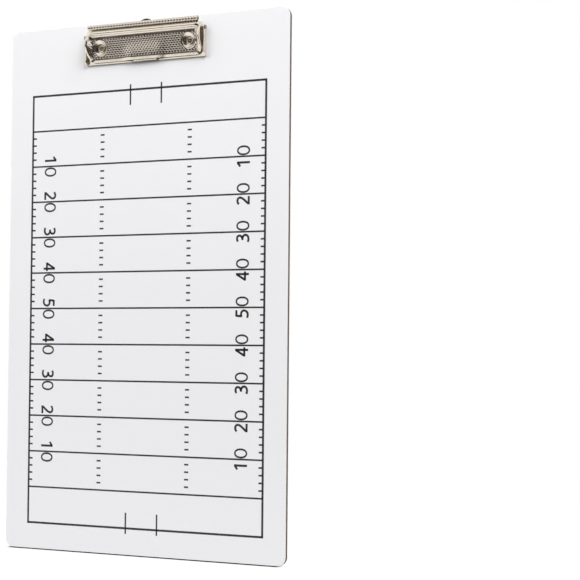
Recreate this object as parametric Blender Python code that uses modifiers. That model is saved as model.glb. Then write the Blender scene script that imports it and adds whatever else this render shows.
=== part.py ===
"""Coach clipboard: a hardboard writing board with a sprung steel clip and a pull-out hanging tab.

The board stands upright. X runs to the right, the front face looks toward -Y, and +Z is up.
The origin is the middle of the bottom edge. Sizes below are in millimetres.
Inside the clip, "down" is the distance below the board's top edge,
and "rise" is the height above the front face.
"""

import math

import bmesh
import bpy
from mathutils import Matrix, Vector

MM = 0.001

# Board
BOARD_WIDTH = 228.6
BOARD_HEIGHT = 393.7
BOARD_THICKNESS = 3.8
SHEET_THICKNESS = 0.3
GLUE_GAP = 0.02
CORNER_RADIUS = 6.0
CORNER_STEPS = 6

# Clip
STEEL = 0.8
CLEARANCE = 0.3
CLIP_WIDTH = 98.4
CLIP_OFFSET = 0.9
BASE_REAR = 5.75
BASE_FRONT = 30.6
BASE_RISE = CLEARANCE + STEEL / 2
SIDE_WALL_RISE = 4.3
SIDE_WALL_REAR = 9.2
CHANNEL_HALF = 9.6
CHANNEL_RISE = 2 * CLEARANCE + 1.5 * STEEL

# Hinge
PIN_RADIUS = 0.9
PIN_CLEARANCE = 0.06
PIN_HEAD_RADIUS = PIN_RADIUS + 0.6
EAR_RADIUS = PIN_RADIUS + 0.85
HINGE_DOWN = 10.0
HINGE_RISE = CHANNEL_RISE + STEEL / 2 + CLEARANCE + PIN_RADIUS

# Lever plate
LEVER_HALF = CLIP_WIDTH / 2 - 2.85
BARREL_HALF = LEVER_HALF - 1.5
BARREL_DOWN = 4.0
BARREL_RISE = 6.6
BARREL_RADIUS = 1.5
RIDGE_RISE = 8.05
FLOOR_REAR_DOWN = 12.0
FLOOR_REAR_RISE = 5.6
FLOOR_SLOPE = -0.238
LIP_RISE = BASE_RISE + STEEL + CLEARANCE + 0.05
LIP_FRONT = 29.3
LIP_WAVE = CHANNEL_RISE - BASE_RISE
LIP_CORNER_RADIUS = 5.0
CREST_HALF = LEVER_HALF - 0.45
WALL_FOOT = LEVER_HALF - 4.45
REAR_CORNER_HALF = BARREL_HALF - 0.35

# Rivets and funnels
RIVET_OFFSET = WALL_FOOT - 5.6
RIVET_DOWN = 18.6
SHANK_RADIUS = 2.0
SHANK_CLEARANCE = 0.1
FUNNEL_DOWN = 18.9
FUNNEL_TOP_RADIUS = 5.6
FUNNEL_HOLE_RADIUS = 3.7
FUNNEL_DEPTH = 1.2

# Hanging tab
TAB_FOOT_HALF = CHANNEL_HALF - 1.1
TAB_HALF = TAB_FOOT_HALF - 1.0
TAB_TOP = -1.0
TAB_FOOT_START = 20.4
TAB_END = 25.0
TAB_HOLE_RADIUS = 3.0
TAB_HOLE_DOWN = 6.5

# Springs
WIRE_RADIUS = 0.4
COIL_RADIUS = PIN_RADIUS + WIRE_RADIUS + CLEARANCE
COIL_TURNS = 5
COIL_PITCH = 2 * WIRE_RADIUS + 0.54
COIL_START = CHANNEL_HALF + 4.4
POINTS_PER_TURN = 10
BASE_LEG_ANGLE = -83.0
LEVER_LEG_ANGLE = 84.0
BASE_LEG_LENGTH = 2.4
LEVER_LEG_LENGTH = 3.8

FACE = -BOARD_THICKNESS / 2


def clear_scene():
    for obj in list(bpy.data.objects):
        bpy.data.objects.remove(obj, do_unlink=True)


def new_collection(name):
    collection = bpy.data.collections.new(name)
    bpy.context.scene.collection.children.link(collection)
    return collection


def at(x, down, rise):
    """A point of the clip in scene millimetres: x is measured from the clip's own middle."""
    return Vector((CLIP_OFFSET + x, FACE - rise, BOARD_HEIGHT - down))


HINGE = at(0.0, HINGE_DOWN, HINGE_RISE)


def material(name, colour, roughness, metallic):
    made = bpy.data.materials.new(name)
    made.use_nodes = True
    shader = made.node_tree.nodes["Principled BSDF"]
    shader.inputs["Base Color"].default_value = (*colour, 1.0)
    shader.inputs["Roughness"].default_value = roughness
    shader.inputs["Metallic"].default_value = metallic
    made.diffuse_color = (*colour, 1.0)
    return made


def object_from(bm, name, home, origin=None, paint=None):
    """Turns a bmesh in scene millimetres into an object whose origin is the given point."""
    origin = Vector((0.0, 0.0, 0.0)) if origin is None else origin
    bmesh.ops.translate(bm, verts=bm.verts, vec=-origin)
    bmesh.ops.scale(bm, verts=bm.verts, vec=(MM, MM, MM))
    mesh = bpy.data.meshes.new(name)
    bm.to_mesh(mesh)
    bm.free()
    obj = bpy.data.objects.new(name, mesh)
    obj.location = origin * MM
    home.objects.link(obj)
    if paint is None:
        obj.hide_render = True
        obj.display_type = "WIRE"
    else:
        mesh.materials.append(paint)
    return obj


def extrude_outline(points, vector):
    """A solid from a closed outline and an extrusion vector, in scene millimetres."""
    bm = bmesh.new()
    face = bm.faces.new([bm.verts.new(point) for point in points])
    made = bmesh.ops.extrude_face_region(bm, geom=[face])
    tops = [item for item in made["geom"] if isinstance(item, bmesh.types.BMVert)]
    bmesh.ops.translate(bm, verts=tops, vec=vector)
    bmesh.ops.recalc_face_normals(bm, faces=bm.faces)
    return bm


def add_cylinder(bm, radius, far_radius, length, centre, direction, segments=24):
    """A cylinder or cone: the first radius is at the tail of the direction."""
    turn = Vector((0.0, 0.0, 1.0)).rotation_difference(Vector(direction)).to_matrix().to_4x4()
    bmesh.ops.create_cone(
        bm,
        cap_ends=True,
        segments=segments,
        radius1=radius,
        radius2=far_radius,
        depth=length,
        matrix=Matrix.Translation(centre) @ turn,
    )


def cylinder(name, home, radius, length, centre, direction, segments=24):
    bm = bmesh.new()
    add_cylinder(bm, radius, radius, length, centre, direction, segments)
    return object_from(bm, name, home)


def boolean(obj, other, operation):
    modifier = obj.modifiers.new(f"{operation.lower()} {other.name}", "BOOLEAN")
    modifier.operation = operation
    modifier.solver = "EXACT"
    modifier.object = other


def rounded_rectangle(half_width, low, high, radius, steps, y):
    points = []
    for cx, cz, start in (
        (half_width - radius, low + radius, -90.0),
        (half_width - radius, high - radius, 0.0),
        (radius - half_width, high - radius, 90.0),
        (radius - half_width, low + radius, 180.0),
    ):
        for step in range(steps + 1):
            angle = math.radians(start + 90.0 * step / steps)
            points.append(Vector((cx + radius * math.cos(angle), y, cz + radius * math.sin(angle))))
    return points


def revolved(name, home, profile, steps, origin, rotation, paint):
    """A turned solid: the profile runs down the outer side from the axis to the axis."""
    mesh = bpy.data.meshes.new(name)
    points = [(radius * MM, 0.0, height * MM) for radius, height in profile]
    mesh.from_pydata(points, [(i, i + 1) for i in range(len(points) - 1)], [])
    mesh.materials.append(paint)
    obj = bpy.data.objects.new(name, mesh)
    obj.location = origin * MM
    obj.rotation_euler = rotation
    home.objects.link(obj)
    screw = obj.modifiers.new("turn", "SCREW")
    screw.axis = "Z"
    screw.angle = math.tau
    screw.steps = steps
    screw.render_steps = steps
    screw.use_merge_vertices = True
    screw.merge_threshold = 0.00001
    return obj


def make_board(home, helpers, paints):
    """The blank and its two laminate sheets, drilled for the rivets."""
    core_half = BOARD_THICKNESS / 2 - SHEET_THICKNESS - GLUE_GAP
    layers = (
        ("board_core", -core_half, core_half, paints["hardboard"]),
        ("front_writing_sheet", FACE, FACE + SHEET_THICKNESS, paints["front_sheet"]),
        ("back_writing_sheet", -FACE - SHEET_THICKNESS, -FACE, paints["back_sheet"]),
    )
    holes = []
    for side in (-1, 1):
        centre = at(side * RIVET_OFFSET, RIVET_DOWN, 0.0)
        centre.y = 0.0
        radius = SHANK_RADIUS + SHANK_CLEARANCE
        name = "rivet_hole_left" if side < 0 else "rivet_hole_right"
        holes.append(cylinder(name, helpers, radius, 20.0, centre, (0, 1, 0)))
    for name, near, far, paint in layers:
        outline = rounded_rectangle(
            BOARD_WIDTH / 2, 0.0, BOARD_HEIGHT, CORNER_RADIUS, CORNER_STEPS, near
        )
        bm = extrude_outline(outline, Vector((0.0, far - near, 0.0)))
        obj = object_from(bm, name, home, None, paint)
        for hole in holes:
            boolean(obj, hole, "DIFFERENCE")
    return holes


def make_base_plate(home, helpers, holes, paint):
    """A folded sheet: floor, channel over the tab, side walls and hinge ears."""
    wall_x = CLIP_WIDTH / 2 - STEEL / 2
    half = [
        (CHANNEL_HALF, CHANNEL_RISE),
        (CHANNEL_HALF + 1.0, BASE_RISE),
        (wall_x - 0.8, BASE_RISE),
        (wall_x - 0.25, BASE_RISE + 0.2),
        (wall_x, BASE_RISE + 0.7),
        (wall_x, HINGE_RISE + EAR_RADIUS + 0.5),
    ]
    section = [(-x, rise) for x, rise in reversed(half)] + half
    bm = bmesh.new()
    near = [bm.verts.new(at(x, BASE_REAR - 1.0, rise)) for x, rise in section]
    far = [bm.verts.new(at(x, BASE_FRONT, rise)) for x, rise in section]
    for i in range(len(section) - 1):
        bm.faces.new((near[i], near[i + 1], far[i + 1], far[i]))
    obj = object_from(bm, "clip_base_plate", home, None, paint)
    solid = obj.modifiers.new("sheet", "SOLIDIFY")
    solid.thickness = STEEL * MM
    solid.offset = 0.0
    solid.use_even_offset = True
    # Side outline: rear ear round the pin, straight wall, sloping front corner
    def ear(angle):
        turn = math.radians(angle)
        down = HINGE_DOWN + EAR_RADIUS * math.cos(turn)
        return (down, HINGE_RISE + EAR_RADIUS * math.sin(turn))

    outline = [(BASE_REAR, 0.1), (BASE_REAR, CHANNEL_RISE + STEEL / 2 + 0.05)]
    reach = math.sqrt(EAR_RADIUS**2 - (SIDE_WALL_RISE - HINGE_RISE) ** 2)
    outline += [ear(200.0 - step * 12.0) for step in range(13)]
    outline += [(HINGE_DOWN + reach, SIDE_WALL_RISE), (27.6, SIDE_WALL_RISE)]
    outline += [(28.3, 4.15), (28.9, 3.7), (29.5, 3.0), (30.0, 2.3), (BASE_FRONT - 0.05, 2.1)]
    outline += [(BASE_FRONT - 0.05, 0.1)]
    outside = CLIP_WIDTH / 2 + 5.0
    keep = extrude_outline(
        [at(-outside, down, rise) for down, rise in outline], Vector((2 * outside, 0.0, 0.0))
    )
    boolean(obj, object_from(keep, "base_side_outline", helpers), "INTERSECT")
    # The rear corners are cut back to the ears, so only the middle reaches under the barrel
    notch = [(BASE_REAR - 2.0, -1.0), (SIDE_WALL_REAR, -1.0)]
    notch += [ear(angle) for angle in (240.0, 226.0, 213.0, 200.0)]
    notch += [(BASE_REAR - 2.0, HINGE_RISE - 0.4)]
    width = outside - REAR_CORNER_HALF
    for start, name in ((-outside, "rear_corner_left"), (REAR_CORNER_HALF, "rear_corner_right")):
        bm = extrude_outline(
            [at(start, down, rise) for down, rise in notch], Vector((width, 0.0, 0.0))
        )
        boolean(obj, object_from(bm, name, helpers), "DIFFERENCE")
    # Two stops narrow the channel's mouth, so the tab's wider foot can't leave
    for side in (-1, 1):
        bm = bmesh.new()
        low = at(side * (TAB_HALF + 0.35), BASE_REAR + 1.3, 0.4)
        high = at(side * (CHANNEL_HALF + 0.1), BASE_REAR + 0.2, CHANNEL_RISE)
        bmesh.ops.create_cube(bm, size=1.0)
        size = Vector([abs(a - b) for a, b in zip(low, high)])
        bmesh.ops.scale(bm, verts=bm.verts, vec=size)
        bmesh.ops.translate(bm, verts=bm.verts, vec=(low + high) / 2)
        name = "tab_stop_left" if side < 0 else "tab_stop_right"
        boolean(obj, object_from(bm, name, helpers), "UNION")
    for hole in holes:
        boolean(obj, hole, "DIFFERENCE")
    return obj


def floor_rise(down):
    return FLOOR_REAR_RISE + FLOOR_SLOPE * (down - FLOOR_REAR_DOWN)


def lever_rows():
    """Rows of the pressing, from the barrel's free edge forward.

    Each row is (down, rise, crest rise, flange bottom), with None where the barrel has no side.
    """
    rows = []
    for angle in (18, 45, 72, 99, 126, 153, 180, 207, 234, 260, 286, 310):
        turn = math.radians(angle)
        down = BARREL_DOWN + BARREL_RADIUS * math.cos(turn)
        rows.append((down, BARREL_RISE + BARREL_RADIUS * math.sin(turn), None, None))
    start_down, start_rise = rows[-1][:2]
    slope = math.tan(math.radians(40.0))
    rows.append((6.2, start_rise + slope * (6.2 - start_down), 5.2, 3.9))
    rows.append((7.1, start_rise + slope * (7.1 - start_down), 5.7, 3.3))
    rows.append((7.7, 7.72, 5.9, 2.75))
    rows.append((8.2, RIDGE_RISE, 6.0, 2.35))
    rows.append((8.9, RIDGE_RISE, 6.2, 1.85))
    rows.append((9.4, RIDGE_RISE - 0.3, 6.4, 1.7))
    rows.append((9.75, 7.1, 6.55, 1.65))
    rows.append((10.15, 6.35, 6.75, 1.65))
    rows.append((10.8, 5.95, 7.1, 1.65))
    rows.append((FLOOR_REAR_DOWN, floor_rise(FLOOR_REAR_DOWN), 7.8, 1.65))
    rows.append((13.5, floor_rise(13.5), 8.4, 1.6))
    rows.append((15.0, floor_rise(15.0), 8.7, 1.6))
    rows.append((17.0, floor_rise(17.0), 8.6, 1.6))
    rows.append((19.0, floor_rise(19.0), 7.85, 1.6))
    rows.append((20.8, floor_rise(20.8), 6.8, 1.6))
    rows.append((22.5, floor_rise(22.5), 5.6, 1.6))
    rows.append((24.3, floor_rise(24.3), 4.1, 1.6))
    rows.append((25.6, floor_rise(25.6), 3.1, None))
    rows.append((27.0, 1.95, 2.3, None))
    rows.append((28.2, LIP_RISE, LIP_RISE + 0.05, None))
    rows.append((LIP_FRONT, LIP_RISE - 0.05, LIP_RISE, None))
    return rows


def lip_lift(x, down):
    """The lip's middle is raised to clear the channel over the tab."""
    across = min(max((CHANNEL_HALF + 5.4 - abs(x)) / 5.0, 0.0), 1.0)
    along = min(max((down - 20.8) / 4.0, 0.0), 1.0)
    smooth = across * across * (3.0 - 2.0 * across)
    return LIP_WAVE * smooth * along * along * (3.0 - 2.0 * along)


def corner_inset(down):
    """How far the rounded front corner draws the side in."""
    past = down - (LIP_FRONT - LIP_CORNER_RADIUS)
    if past <= 0.0:
        return 0.0
    reach = max(LIP_CORNER_RADIUS**2 - past**2, 0.0)
    return 0.96 * (LIP_CORNER_RADIUS - math.sqrt(reach))


def lever_sheet():
    """The pressing's middle surface: a loft between the plain middle and the arched ends."""
    bm = bmesh.new()
    inner = [0.0, 10.0, 11.2, 12.5, 13.8, 15.0, RIVET_OFFSET - 8.3, WALL_FOOT]
    low_walls = [(WALL_FOOT + 0.7, 0.12), (WALL_FOOT + 2.3, 0.7), (CREST_HALF, 1.0)]
    high_walls = [(WALL_FOOT + 0.7, 0.04), (WALL_FOOT + 2.3, 0.4), (CREST_HALF, 1.0)]
    grid = []
    for down, rise, crest, bottom in lever_rows():
        half = [(x, rise + lip_lift(x, down)) for x in inner]
        if crest is None:
            half.append((WALL_FOOT + 0.7, rise))
            half.append((BARREL_HALF, rise))
        else:
            inset = corner_inset(down)
            span = (CREST_HALF - WALL_FOOT - inset) / (CREST_HALF - WALL_FOOT)
            half[-1] = (WALL_FOOT - 0.6 * inset, half[-1][1])
            for x, weight in low_walls if crest > rise else high_walls:
                spread = (x - WALL_FOOT) / (CREST_HALF - WALL_FOOT)
                outer = CREST_HALF - inset
                start = WALL_FOOT - 0.6 * inset
                half.append((start + spread * (outer - start), rise + weight * (crest - rise)))
            half.append((LEVER_HALF - inset, crest - 0.3 if bottom is not None else crest - 0.02))
            if bottom is not None:
                half.append((LEVER_HALF, bottom))
        row = {}
        for index, (x, height) in enumerate(half):
            row[index] = bm.verts.new(at(x, down, height))
            if index:
                row[-index] = bm.verts.new(at(-x, down, height))
        grid.append(row)
    for near, far in zip(grid, grid[1:]):
        for index in range(-12, 12):
            corners = (index, index + 1)
            if all(i in near and i in far for i in corners):
                bm.faces.new((near[index], far[index], far[index + 1], near[index + 1]))
    return bm


def make_lever(home, helpers, paint):
    """The lever plate: lofted sheet, two funnels over the rivets, hinge holes in its flanges."""
    obj = object_from(lever_sheet(), "clip_lever_plate", home, HINGE, paint)
    solid = obj.modifiers.new("sheet", "SOLIDIFY")
    solid.thickness = STEEL * MM
    solid.offset = 0.0
    solid.use_even_offset = True
    lean = math.atan(-FLOOR_SLOPE)
    normal = Vector((0.0, -math.cos(lean), -math.sin(lean)))
    growth = (FUNNEL_TOP_RADIUS - FUNNEL_HOLE_RADIUS) / (FUNNEL_DEPTH + STEEL / 2)
    bodies = []
    cuts = []
    for side in (-1, 1):
        label = "left" if side < 0 else "right"
        centre = at(side * RIVET_OFFSET, FUNNEL_DOWN, floor_rise(FUNNEL_DOWN))
        bm = bmesh.new()
        low = FUNNEL_HOLE_RADIUS + 1.0
        high = low + growth * FUNNEL_DEPTH
        middle = centre - normal * (FUNNEL_DEPTH / 2)
        add_cylinder(bm, low, high, FUNNEL_DEPTH, middle, normal, 32)
        bodies.append(object_from(bm, f"funnel_body_{label}", helpers))
        bm = bmesh.new()
        low = FUNNEL_HOLE_RADIUS - growth * 0.5
        high = FUNNEL_TOP_RADIUS + growth * 0.2
        length = FUNNEL_DEPTH + STEEL / 2 + 0.7
        middle = centre + normal * (STEEL / 2 + 0.2 - length / 2)
        add_cylinder(bm, low, high, length, middle, normal, 32)
        cuts.append(object_from(bm, f"funnel_cut_{label}", helpers))
    for body in bodies:
        boolean(obj, body, "UNION")
    for cut in cuts:
        boolean(obj, cut, "DIFFERENCE")
    return obj


def make_hinge(home, helpers, base, lever, paint):
    """The pin, and the holes it turns in."""
    hole = cylinder(
        "hinge_hole", helpers, PIN_RADIUS + PIN_CLEARANCE, 130.0, HINGE, (1, 0, 0), 24
    )
    boolean(base, hole, "DIFFERENCE")
    boolean(lever, hole, "DIFFERENCE")
    end = CLIP_WIDTH / 2 + 0.3
    profile = [
        (0.0, end + 0.7),
        (PIN_HEAD_RADIUS - 0.4, end + 0.7),
        (PIN_HEAD_RADIUS, end + 0.35),
        (PIN_HEAD_RADIUS, end),
        (PIN_RADIUS, end),
        (PIN_RADIUS, -end),
        (PIN_HEAD_RADIUS, -end),
        (PIN_HEAD_RADIUS, -end - 0.35),
        (PIN_HEAD_RADIUS - 0.4, -end - 0.7),
        (0.0, -end - 0.7),
    ]
    revolved("hinge_pin", home, profile, 24, HINGE, (0.0, math.radians(90.0), 0.0), paint)


def make_rivets(home, paint):
    """Tubular rivets: a domed head behind the board, a rolled end on the base plate's floor."""
    floor = BOARD_THICKNESS / 2 + BASE_RISE + STEEL / 2 + 0.25
    head = -BOARD_THICKNESS / 2 - 0.25
    profile = [
        (0.0, floor - 3.4),
        (1.3, floor - 3.4),
        (1.45, floor + 0.1),
        (1.65, floor + 0.5),
        (2.0, floor + 0.8),
        (2.4, floor + 0.8),
        (2.8, floor + 0.5),
        (2.8, floor + 0.2),
        (2.5, floor),
        (SHANK_RADIUS, floor - 0.05),
        (SHANK_RADIUS, head),
        (3.9, head),
        (4.0, head - 0.3),
        (3.7, head - 0.9),
        (2.9, head - 1.35),
        (1.6, head - 1.6),
        (0.0, head - 1.6),
    ]
    for side in (-1, 1):
        origin = at(side * RIVET_OFFSET, RIVET_DOWN, FACE)
        name = "rivet_left" if side < 0 else "rivet_right"
        revolved(name, home, profile, 24, origin, (math.radians(90.0), 0.0, 0.0), paint)


def make_tab(home, helpers, paint):
    """The flat hanging tab: rounded top with a hole, wider foot held inside the channel."""
    outline = []
    for step in range(13):
        angle = math.radians(180.0 - 15.0 * step)
        x = TAB_HALF * math.cos(angle)
        outline.append((x, TAB_TOP + TAB_HALF - TAB_HALF * math.sin(angle)))
    outline += [(TAB_HALF, TAB_FOOT_START), (TAB_FOOT_HALF, TAB_FOOT_START)]
    outline += [(TAB_FOOT_HALF, TAB_END), (-TAB_FOOT_HALF, TAB_END)]
    outline += [(-TAB_FOOT_HALF, TAB_FOOT_START), (-TAB_HALF, TAB_FOOT_START)]
    points = [at(x, down, CLEARANCE) for x, down in outline]
    bm = extrude_outline(points, Vector((0.0, -STEEL, 0.0)))
    obj = object_from(bm, "hanger_tab", home, at(0.0, TAB_HOLE_DOWN, CLEARANCE), paint)
    centre = at(0.0, TAB_HOLE_DOWN, CLEARANCE)
    hole = cylinder("tab_hole", helpers, TAB_HOLE_RADIUS, 10.0, centre, (0, 1, 0))
    boolean(obj, hole, "DIFFERENCE")


def spring_path(side):
    """Centre line of one spring: base leg, coil round the pin, lever leg."""
    def ring(angle, x):
        down = HINGE_DOWN + COIL_RADIUS * math.cos(angle)
        return at(side * x, down, HINGE_RISE + COIL_RADIUS * math.sin(angle))

    start = math.radians(BASE_LEG_ANGLE)
    end = math.radians(LEVER_LEG_ANGLE) + COIL_TURNS * math.tau
    count = round((end - start) / math.tau * POINTS_PER_TURN)
    points = []
    for step in range(count + 1):
        share = step / count
        angle = start + share * (end - start)
        points.append(ring(angle, COIL_START + COIL_PITCH * (angle - start) / math.tau))
    legs = []
    for angle, sign, length in ((start, -1, BASE_LEG_LENGTH), (end, 1, LEVER_LEG_LENGTH)):
        along = Vector((0.0, -sign * math.cos(angle), sign * math.sin(angle)))
        foot = points[0] if sign < 0 else points[-1]
        legs.append([foot + along * length * part for part in (0.33, 0.66, 1.0)])
    return list(reversed(legs[0])) + points + legs[1]


def least_gap(points):
    """The least clear distance between neighbouring turns of a wire."""
    apart = POINTS_PER_TURN // 2
    least = min(
        (points[i] - points[j]).length
        for i in range(len(points))
        for j in range(i + apart, len(points))
    )
    return least - 2 * WIRE_RADIUS


def make_spring(name, side, home, helpers, paint):
    points = spring_path(side)
    print(f"{name}: least gap between turns {least_gap(points):.3f} mm")
    curve = bpy.data.curves.new(f"{name} wire", "CURVE")
    curve.dimensions = "3D"
    curve.bevel_depth = WIRE_RADIUS * MM
    curve.bevel_resolution = 1
    curve.use_fill_caps = True
    spline = curve.splines.new("POLY")
    spline.points.add(len(points) - 1)
    for point, place in zip(spline.points, points):
        point.co = (*((place - HINGE) * MM), 1.0)
    guide = bpy.data.objects.new(f"{name}_wire", curve)
    helpers.objects.link(guide)
    guide.hide_render = True
    graph = bpy.context.evaluated_depsgraph_get()
    mesh = bpy.data.meshes.new_from_object(guide.evaluated_get(graph))
    bm = bmesh.new()
    bm.from_mesh(mesh)
    bmesh.ops.remove_doubles(bm, verts=bm.verts, dist=0.000001)
    bmesh.ops.recalc_face_normals(bm, faces=bm.faces)
    bm.to_mesh(mesh)
    bm.free()
    mesh.name = name
    mesh.materials.clear()
    mesh.materials.append(paint)
    obj = bpy.data.objects.new(name, mesh)
    obj.location = HINGE * MM
    home.objects.link(obj)
    bpy.data.objects.remove(guide, do_unlink=True)


def main():
    clear_scene()
    home = new_collection("coach_clipboard")
    helpers = new_collection("cutters")
    paints = {
        "hardboard": material("hardboard", (0.075, 0.050, 0.036), 0.75, 0.0),
        "front_sheet": material("front sheet", (0.86, 0.86, 0.88), 0.25, 0.0),
        "back_sheet": material("back sheet", (0.86, 0.86, 0.88), 0.25, 0.0),
    }
    nickel = (0.62, 0.59, 0.54)
    holes = make_board(home, helpers, paints)
    base = make_base_plate(home, helpers, holes, material("base plate nickel", nickel, 0.3, 1.0))
    lever = make_lever(home, helpers, material("lever plate nickel", nickel, 0.3, 1.0))
    make_hinge(home, helpers, base, lever, material("pin steel", nickel, 0.35, 1.0))
    make_rivets(home, material("rivet nickel", nickel, 0.3, 1.0))
    make_tab(home, helpers, material("tab nickel", nickel, 0.3, 1.0))
    spring_steel = material("spring steel", (0.45, 0.44, 0.42), 0.35, 1.0)
    make_spring("torsion_spring_left", -1, home, helpers, spring_steel)
    make_spring("torsion_spring_right", 1, home, helpers, spring_steel.copy())


main()
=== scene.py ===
import functools
import math

import bmesh
import bpy
from mathutils import Matrix, Vector


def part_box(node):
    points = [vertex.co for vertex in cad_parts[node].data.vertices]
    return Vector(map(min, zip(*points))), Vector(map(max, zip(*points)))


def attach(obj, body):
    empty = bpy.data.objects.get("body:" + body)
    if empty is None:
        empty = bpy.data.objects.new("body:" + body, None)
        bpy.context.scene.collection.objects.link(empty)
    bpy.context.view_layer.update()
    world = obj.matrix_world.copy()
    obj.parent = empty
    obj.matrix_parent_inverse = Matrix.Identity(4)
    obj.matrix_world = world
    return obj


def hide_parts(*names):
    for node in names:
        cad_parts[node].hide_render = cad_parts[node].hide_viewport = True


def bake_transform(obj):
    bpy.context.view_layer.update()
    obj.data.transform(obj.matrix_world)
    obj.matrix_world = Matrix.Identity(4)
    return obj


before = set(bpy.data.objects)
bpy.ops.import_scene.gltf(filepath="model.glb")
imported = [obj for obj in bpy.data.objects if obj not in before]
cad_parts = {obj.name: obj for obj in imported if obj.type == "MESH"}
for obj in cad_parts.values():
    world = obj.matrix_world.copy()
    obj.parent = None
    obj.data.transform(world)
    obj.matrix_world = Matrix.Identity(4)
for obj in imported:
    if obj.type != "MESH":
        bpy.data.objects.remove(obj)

bl_info = {
    "name": "Coach Clipboard",
    "version": (1, 0, 0),
    "blender": (4, 5, 0),
    "location": "View3D > Sidebar > Clipboard",
    "description": "Builds the coach clipboard's visible pieces round its packed frame",
    "category": "Object",
}

MM = 0.001
BOARD, LEVER, HANGER = "board", "lever", "hanger"

# Shape of the clip in the solids, in millimetres: down is measured from the board's top edge,
# rise from its front face, and a half width from the clip's own middle
CORNER_RADIUS = 6.0
STEEL = 0.8
CLEARANCE = 0.3
BASE_REAR, BASE_FRONT = 5.75, 30.6
BASE_RISE = CLEARANCE + STEEL / 2
CLIP_HALF, CLIP_OFFSET = 49.2, 0.9
CHANNEL_HALF, CHANNEL_RISE = 9.6, 1.8
SIDE_WALL_RISE, SIDE_WALL_REAR, WALL_LEAN = 4.3, 9.2, 0.2
HINGE_DOWN, HINGE_RISE = 10.0, 3.4
PIN_RADIUS, PIN_HEAD_RADIUS, EAR_RADIUS = 0.9, 1.5, 1.75
LEVER_HALF, BARREL_HALF = 46.35, 44.85
CREST_HALF, WALL_FOOT, REAR_CORNER_HALF = 45.9, 41.9, 44.5
BARREL_DOWN, BARREL_RISE, BARREL_RADIUS = 4.0, 6.6, 1.5
RIDGE_RISE = 8.05
FLOOR_START, FLOOR_RISE, FLOOR_SLOPE, FLOOR_STRETCH = 12.0, 5.6, 0.238, 1.028
FLANGE_END = 25.0
LIP_FRONT, LIP_RISE, LIP_WAVE, LIP_CORNER_RADIUS = 29.3, 1.85, 1.1, 5.0
RIVET_OFFSET, RIVET_DOWN, RIVET_HOLE = 36.3, 18.6, 2.1
FUNNEL_DOWN, FUNNEL_RIM, FUNNEL_HOLE, FUNNEL_DEPTH = 18.9, 5.9, 3.7, 1.55
TAB_HALF, TAB_HOLE, TAB_HOLE_DOWN, TAB_END = 7.5, 3.0, 6.5, 25.0
WIRE_RADIUS, COIL_RADIUS, COIL_TURNS, COIL_PITCH, COIL_START = 0.4, 1.6, 5, 1.34, 14.0
BASE_LEG, LEVER_LEG = (-83.0, 2.4), (84.0, 3.8)

# How far the left end wall's crest leans out
END_BULGE = 0.45

# Embossed diamond pattern of the steel: its pitch, and its two ends on the pocket's floor
EMBOSS_ACROSS, EMBOSS_ALONG = 2.34, 3.04
EMBOSS_REAR, EMBOSS_FRONT = 12.6, 26.4
# Share of a pit at each point of the lever plate, which its material darkens as painted shade
PIT_LAYER = "pit"

# Where the lever's columns stand, from its middle out to the end wall's foot, and their count up the wall
COLUMN_STEP = EMBOSS_ACROSS / 8
FLOOR_COLUMNS = [i * COLUMN_STEP for i in range(int(WALL_FOOT / COLUMN_STEP))] + [WALL_FOOT]
WALL_STEPS = 9


def srgb(text):
    """Turns an sRGB hex colour into linear red, green, blue and alpha."""
    channels = [int(text[i : i + 2], 16) / 255 for i in (1, 3, 5)]
    linear = [c / 12.92 if c <= 0.04045 else ((c + 0.055) / 1.055) ** 2.4 for c in channels]
    return (*linear, 1.0)


def toned(colour, share):
    """The colour at another brightness."""
    return (*(channel * share for channel in colour[:3]), 1.0)


def add_node(tree, kind, inputs=None, **settings):
    """Adds one shader node: inputs are values, sockets or nodes to link, settings its properties."""
    node = tree.nodes.new("ShaderNode" + kind)
    for key, value in settings.items():
        setattr(node, key, value)
    for key, value in (inputs or {}).items():
        if isinstance(value, bpy.types.Node):
            value = next(socket for socket in value.outputs if socket.enabled)
        if isinstance(value, bpy.types.NodeSocket):
            tree.links.new(value, node.inputs[key])
        else:
            node.inputs[key].default_value = value
    return node


def node_adder(owner):
    """Clears the nodes of a material or world, and returns the function that adds its own."""
    owner.use_nodes = True
    owner.node_tree.nodes.clear()
    return functools.partial(add_node, owner.node_tree)


class ClipboardSizes(bpy.types.PropertyGroup):
    """Sizes a user would change"""

    emboss_depth: bpy.props.FloatProperty(
        name="Embossing depth", description="How deep the diamond pits are pressed into the lever plate",
        default=0.36 * MM, min=0.0, max=0.4 * MM, precision=5, subtype="DISTANCE", unit="LENGTH",
    )
    border_width: bpy.props.FloatProperty(
        name="Border line", description="Width of the printed field's border", default=1.55 * MM,
        precision=5, subtype="DISTANCE", unit="LENGTH",
    )
    line_width: bpy.props.FloatProperty(
        name="Yard line", description="Width of the printed yard lines", default=1.22 * MM,
        precision=5, subtype="DISTANCE", unit="LENGTH",
    )
    mark_width: bpy.props.FloatProperty(
        name="Short marks", description="Width of the printed ticks and hashes", default=1.2 * MM,
        precision=5, subtype="DISTANCE", unit="LENGTH",
    )
    ink_thickness: bpy.props.FloatProperty(
        name="Ink film", description="Thickness of the screen-printed ink", default=0.02 * MM,
        precision=5, subtype="DISTANCE", unit="LENGTH",
    )
    floor_size: bpy.props.FloatProperty(
        name="Floor", description="Side of the pale studio floor", default=12.0,
        precision=5, subtype="DISTANCE", unit="LENGTH",
    )


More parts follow.
